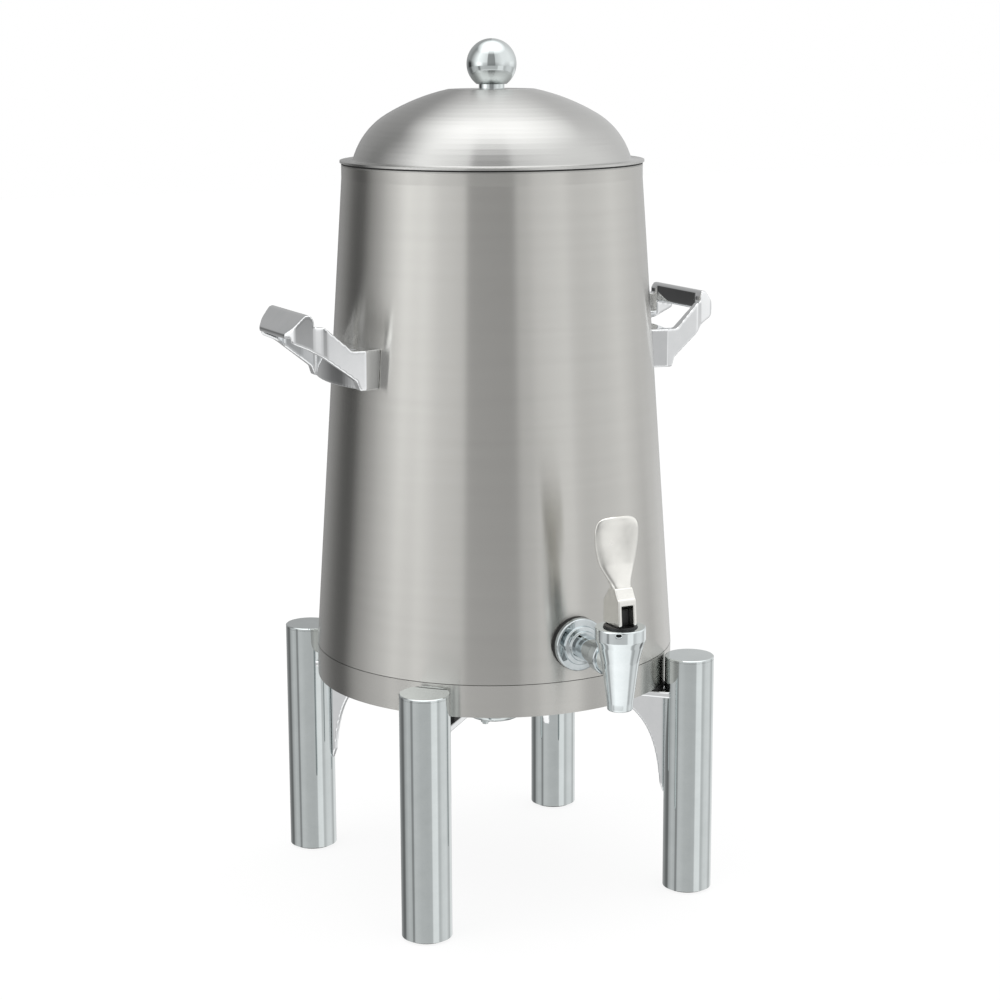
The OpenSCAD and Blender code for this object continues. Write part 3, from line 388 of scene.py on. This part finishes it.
def leverYoke(work):
    s = leverSettings
    side = s["yokeBack"] + [camPoint(d) for d in s["camDegrees"]] + s["yokeFront"]
    near = [work.verts.new(leverPoint(-s["yokeHalf"], u, w)) for u, w in side]
    far = [work.verts.new(leverPoint(s["yokeHalf"], u, w)) for u, w in side]
    work.faces.new(near)
    work.faces.new(list(reversed(far)))
    for i in range(len(side)):
        j = (i + 1) % len(side)
        work.faces.new((near[j], near[i], far[i], far[j]))


def slotCutter(work):
    s = leverSettings
    low = leverPoint(-s["slotHalf"], s["slotReach"], s["slotFoot"])
    high = leverPoint(s["slotHalf"], -s["slotReach"], s["slotRoof"])
    bmesh.ops.create_cube(work, size=1.0)
    for v in work.verts:
        v.co = Vector([low[i] if v.co[i] < 0 else high[i] for i in range(3)])


def blendedRings():
    # a smooth line through the paddle's rings
    rings = [Vector(ring) for ring in leverSettings["paddle"]]
    spans = leverSettings["spans"]
    out = []
    for i in range(len(rings) - 1):
        before = rings[max(i - 1, 0)]
        after = rings[min(i + 2, len(rings) - 1)]
        for k in range(spans):
            t = k / spans
            out.append((2 * t ** 3 - 3 * t * t + 1) * rings[i]
                       + (t ** 3 - 2 * t * t + t) * (rings[i + 1] - before) / 2
                       + (3 * t * t - 2 * t ** 3) * rings[i + 1]
                       + (t ** 3 - t * t) * (after - rings[i]) / 2)
    out.append(rings[-1])
    return out


def leverPaddle(work):
    s = leverSettings
    rings = []
    count = s["ringPoints"]
    for w, u, thick, wide in blendedRings():
        ring = []
        swell = s["crown"] * min(1.0, max(0.0, (w - s["crownFrom"]) / s["crownOver"]))
        for k in range(count):
            a = 2 * math.pi * k / count
            c, d = math.cos(a), math.sin(a)
            x = wide * math.copysign(abs(c) ** s["sideSquare"], c)
            v = thick / 2 * math.copysign(abs(d) ** s["faceSquare"], d)
            if d > 0:
                v += swell * (1 - (x / wide) ** 2)
            ring.append(work.verts.new(leverPoint(x, u + v, w)))
        rings.append(ring)
    for low, high in zip(rings, rings[1:]):
        for k in range(count):
            n = (k + 1) % count
            work.faces.new((low[k], low[n], high[n], high[k]))
    work.faces.new(list(reversed(rings[0])))
    work.faces.new(rings[-1])


def blankOf(name, build):
    # a closed mesh made by one of the builders above
    work = bmesh.new()
    build(work)
    bmesh.ops.recalc_face_normals(work, faces=work.faces)
    mesh = bpy.data.meshes.new(name)
    work.to_mesh(mesh)
    work.free()
    blank = bpy.data.objects.new(name, mesh)
    scene.collection.objects.link(blank)
    return blank


def bakeModifiers(blank):
    # the modifiers' result becomes the blank's own mesh
    bpy.context.view_layer.update()
    graph = bpy.context.evaluated_depsgraph_get()
    mesh = bpy.data.meshes.new_from_object(blank.evaluated_get(graph))
    blank.modifiers.clear()
    blank.data = mesh


yoke = blankOf("leverYoke", leverYoke)
slotTool = blankOf("slotCutter", slotCutter)
cut = yoke.modifiers.new("slot", "BOOLEAN")
cut.operation = "DIFFERENCE"
cut.solver = "EXACT"
cut.object = slotTool
edge = yoke.modifiers.new("edges", "BEVEL")
edge.width = leverSettings["edgeMm"] * mm
edge.segments = leverSettings["edgeSegments"]
edge.limit_method = "ANGLE"
edge.angle_limit = math.radians(leverSettings["edgeDegrees"])
bakeModifiers(yoke)
paddle = blankOf("leverPaddle", leverPaddle)
work = bmesh.new()
work.from_mesh(yoke.data)
work.from_mesh(paddle.data)
leverMesh = bpy.data.meshes.new("leverCasting")
work.to_mesh(leverMesh)
work.free()
leverMesh.shade_smooth()
for blank in (yoke, slotTool, paddle):
    bpy.data.objects.remove(blank)
leverPiece = newPiece("leverCasting", leverMesh, satinNickel, "lever", "satin_lever", "faucet_lever")
even = leverPiece.modifiers.new("evenShading", "WEIGHTED_NORMAL")
even.keep_sharp = True
print("lever made")

# return spring: round wire, wound as one still coil; the stem presses it towards the bonnet as it lifts
springSettings = {"place": (0, -0.193), "coilMm": 5.0, "wireMm": 0.6, "turns": 4.5, "steps": 144,
                  "sides": 12, "travelMm": 3.25}
springNode = nodes["stem_spring"]
springHeights = [(springNode.matrix_world @ v.co).z for v in springNode.data.vertices]
springFoot, springHead = min(springHeights), max(springHeights)


def springCoil(work):
    s = springSettings
    wire = s["wireMm"] * mm
    rings = []
    for i in range(s["steps"] + 1):
        share = i / s["steps"]
        a = 2 * math.pi * share * s["turns"]
        z = springFoot + wire + (springHead - springFoot - 2 * wire) * share
        ring = []
        for k in range(s["sides"]):
            b = 2 * math.pi * k / s["sides"]
            reach = s["coilMm"] * mm + wire * math.cos(b)
            ring.append(work.verts.new((s["place"][0] + reach * math.cos(a),
                                        s["place"][1] + reach * math.sin(a), z + wire * math.sin(b))))
        rings.append(ring)
    for low, high in zip(rings, rings[1:]):
        for k in range(s["sides"]):
            n = (k + 1) % s["sides"]
            work.faces.new((low[k], low[n], high[n], high[k]))
    work.faces.new(list(reversed(rings[0])))
    work.faces.new(rings[-1])


coil = blankOf("returnSpring", springCoil)
coilMesh = coil.data
coilMesh.shade_smooth()
bpy.data.objects.remove(coil)
spring = newPiece("returnSpring", coilMesh, springWire, "urn", "satin_vessel", "stem_spring")
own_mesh(spring)
print("spring wound")


# ---------- studio ----------

studio = {
    "cameraPlace": (-0.7421, -1.4993, 0.6344),
    "heading": 26.5,        # degrees from +Y towards +X
    "pitch": 0.205,         # radians below the horizon
    "roll": 0.004,
    "lens": 82.32,
    "sensor": 36.0,
    "clipStart": 0.05, "clipEnd": 50,
}

heading = math.radians(studio["heading"])
ahead = Vector((math.sin(heading), math.cos(heading), 0)) * math.cos(studio["pitch"])
ahead.z = -math.sin(studio["pitch"])
levelRight = Vector((math.cos(heading), -math.sin(heading), 0))
levelUp = levelRight.cross(ahead)
right = levelRight * math.cos(studio["roll"]) - levelUp * math.sin(studio["roll"])
upward = levelUp * math.cos(studio["roll"]) + levelRight * math.sin(studio["roll"])
cameraData = bpy.data.cameras.new("camera")
cameraData.lens = studio["lens"]
cameraData.sensor_width = studio["sensor"]
cameraData.clip_start = studio["clipStart"]
cameraData.clip_end = studio["clipEnd"]
camera = bpy.data.objects.new("camera", cameraData)
scene.collection.objects.link(camera)
turn = Matrix((right, upward, -ahead)).transposed()
camera.matrix_world = Matrix.Translation(studio["cameraPlace"]) @ turn.to_4x4()
scene.camera = camera
scene.view_settings.view_transform = "Standard"

# what stands round the table: degrees from the camera's side, to the right, and brightness
# these values were calculated from the photograph: its brightness was sampled at 21 such angles on
# three rows of the body and divided by the render's, and the old values were multiplied by that
# ratio to the power 1.35, then rounded, and seven changed later
# the three tables after this one were listed against printed brightness of photo and render
walls = [
    (-180, 0.34), (-150, 0.37), (-138, 0.27), (-128, 0.11), (-118, 0.03), (-111, 0.08), (-105, 0.24),
    (-92, 0.56), (-77, 1.20), (-64, 1.78), (-50, 1.50), (-38, 0.86), (-20, 0.70), (-17.5, 0.35),
    (16, 0.30), (18.5, 0.54), (36, 0.82), (54, 1.06), (70, 0.90), (84, 0.92), (100, 1.18),
    (118, 1.08), (136, 0.76), (180, 0.60),
]
# the same walls higher up, where they pale
upperWalls = [
    (-180, 0.46), (-150, 0.42), (-132, 0.40), (-124, 0.34), (-112, 0.32), (-106, 0.42), (-92, 0.70),
    (-66, 1.40), (-40, 1.16), (-20, 0.96), (-17.5, 0.38), (16, 0.34), (18.5, 0.76), (54, 1.02),
    (100, 1.06), (136, 0.84), (180, 0.62),
]
# the far part of the pale table, as the legs see it
tableTop = [
    (-180, 0.40), (-150, 0.36), (-126, 0.18), (-113, 0.16), (-102, 0.46), (-84, 0.62), (-68, 0.56),
    (-64, 0.30), (-57, 0.30), (-52, 0.62), (-40, 0.64), (-20, 0.57), (10, 0.55), (27, 0.57),
    (32, 0.92), (55, 0.96), (60, 0.66), (66, 0.60), (80, 0.80), (104, 0.84), (114, 0.70),
    (124, 0.52), (136, 0.84), (150, 0.92), (180, 0.60),
]
# the near part of the table, as the handles and the faucet see it
tableNear = [
    (-180, 0.40), (-150, 0.34), (-142, 0.28), (-124, 0.30), (-118, 0.55), (-98, 0.66), (-92, 0.36),
    (-80, 0.36), (-74, 0.80), (-40, 1.12), (10, 1.04), (36, 0.98), (60, 0.94), (70, 0.48), (82, 0.40),
    (90, 0.62), (118, 0.66), (126, 0.16), (144, 0.12), (152, 0.34), (180, 0.30),
]
room = {
    # heights are sines of elevation; shadeDark and ceiling are brightness
    "tableNear": -0.50, "tableMiddle": -0.38, "tableFar": -0.165, "wallFoot": -0.115,
    "shadeLow": -0.24, "shadeHigh": 0.02, "shadeDark": 0.70,
    "paleStart": 0.03, "paleFull": 0.16,
    "ceiling": 1.9, "ceilingStart": 0.68, "ceilingFull": 0.97,
    "rampReach": 2.0,       # a colour ramp holds at most 1, so brightness is divided by this
}


def bandRamp(tree, share, bands):
    # brightness by direction round the table
    reach = room["rampReach"]
    ramp = addNode(tree, "ShaderNodeValToRGB", links={"Fac": share})
    rampStops(ramp, [(a / 360 + 0.5, (v / reach, v / reach, v / reach, 1)) for a, v in bands])
    return addNode(tree, "ShaderNodeVectorMath", operation="SCALE", links={0: ramp.outputs[0]},
                   sockets={"Scale": reach}).outputs[0]


world = bpy.data.worlds.new("studioRoom")
scene.world = world
world.use_nodes = True
tree = world.node_tree
tree.nodes.clear()
direction = addNode(tree, "ShaderNodeTexCoord").outputs["Generated"]
squared = addNode(tree, "ShaderNodeVectorRotate", rotation_type="Z_AXIS",
                  links={"Vector": direction}, sockets={"Angle": heading})
axes = addNode(tree, "ShaderNodeSeparateXYZ", links={"Vector": squared.outputs[0]})
forward = addNode(tree, "ShaderNodeMath", operation="MULTIPLY", links={0: axes.outputs["Y"]},
                  sockets={1: -1.0})
angle = addNode(tree, "ShaderNodeMath", operation="ARCTAN2",
                links={0: axes.outputs["X"], 1: forward.outputs[0]})
share = addNode(tree, "ShaderNodeMath", operation="MULTIPLY_ADD", links={0: angle.outputs[0]},
                sockets={1: 0.5 / math.pi, 2: 0.5}).outputs[0]
below = addNode(tree, "ShaderNodeMapRange", links={"Value": axes.outputs["Z"]},
                sockets={"From Min": room["tableFar"], "From Max": room["wallFoot"]})
above = addNode(tree, "ShaderNodeMapRange", links={"Value": axes.outputs["Z"]},
                sockets={"From Min": room["ceilingStart"], "From Max": room["ceilingFull"]})
shade = addNode(tree, "ShaderNodeMapRange", links={"Value": axes.outputs["Z"]},
                sockets={"From Min": room["shadeLow"], "From Max": room["shadeHigh"],
                         "To Min": room["shadeDark"]})
shaded = addNode(tree, "ShaderNodeVectorMath", operation="SCALE",
                 links={0: bandRamp(tree, share, walls), "Scale": shade.outputs[0]})
near = addNode(tree, "ShaderNodeMapRange", links={"Value": axes.outputs["Z"]},
               sockets={"From Min": room["tableNear"], "From Max": room["tableMiddle"]})
table = addNode(tree, "ShaderNodeMix", data_type="RGBA",
                links={0: near.outputs[0], 6: bandRamp(tree, share, tableNear),
                       7: bandRamp(tree, share, tableTop)})
low = addNode(tree, "ShaderNodeMix", data_type="RGBA",
              links={0: below.outputs[0], 6: table.outputs[2], 7: shaded.outputs[0]})
pale = addNode(tree, "ShaderNodeMapRange", links={"Value": axes.outputs["Z"]},
               sockets={"From Min": room["paleStart"], "From Max": room["paleFull"]})
upper = addNode(tree, "ShaderNodeMix", data_type="RGBA",
                links={0: pale.outputs[0], 6: low.outputs[2], 7: bandRamp(tree, share, upperWalls)})
high = addNode(tree, "ShaderNodeMix", data_type="RGBA",
               links={0: above.outputs[0], 6: upper.outputs[2]},
               sockets={7: (room["ceiling"],) * 3 + (1,)})
# only the camera sees white: metal sees the room above and not the white background
rays = addNode(tree, "ShaderNodeLightPath")
seen = addNode(tree, "ShaderNodeMix", data_type="RGBA",
               links={0: rays.outputs["Is Camera Ray"], 6: high.outputs[2]}, sockets={7: (1, 1, 1, 1)})
light = addNode(tree, "ShaderNodeBackground", links={"Color": seen.outputs[2]})
addNode(tree, "ShaderNodeOutputWorld", links={"Surface": light.outputs[0]})

# the pale table under the urn: the camera sees it nearly white, metal sees tableTop and tableNear
floorSettings = {"size": 14.0, "colour": "#FAFAFA", "glow": 0.86, "brightness": 1.02, "dropMm": 0.2}
floorMesh = bpy.data.meshes.new("paleTable")
half = floorSettings["size"] / 2
floorMesh.from_pydata([(-half, -half, 0), (half, -half, 0), (half, half, 0), (-half, half, 0)], [],
                      [(0, 1, 2, 3)])
floor = bpy.data.objects.new("paleTable", floorMesh)
scene.collection.objects.link(floor)
material, tree = freshMaterial("paleTablePaint")
rays = addNode(tree, "ShaderNodeLightPath")
paint = addNode(tree, "ShaderNodeBsdfDiffuse", sockets={"Color": linear(floorSettings["colour"])})
glow = addNode(tree, "ShaderNodeEmission",
               sockets={"Color": (1, 1, 1, 1), "Strength": floorSettings["brightness"]})
amount = addNode(tree, "ShaderNodeMath", operation="MULTIPLY",
                 links={0: rays.outputs["Is Camera Ray"]}, sockets={1: floorSettings["glow"]})
blend = addNode(tree, "ShaderNodeMixShader",
                links={0: amount.outputs[0], 1: paint.outputs[0], 2: glow.outputs[0]})
finishMaterial(tree, blend)
floorMesh.materials.append(material)
floor.visible_glossy = False
floor.location.z = -floorSettings["dropMm"] * mm
print("studio ready")
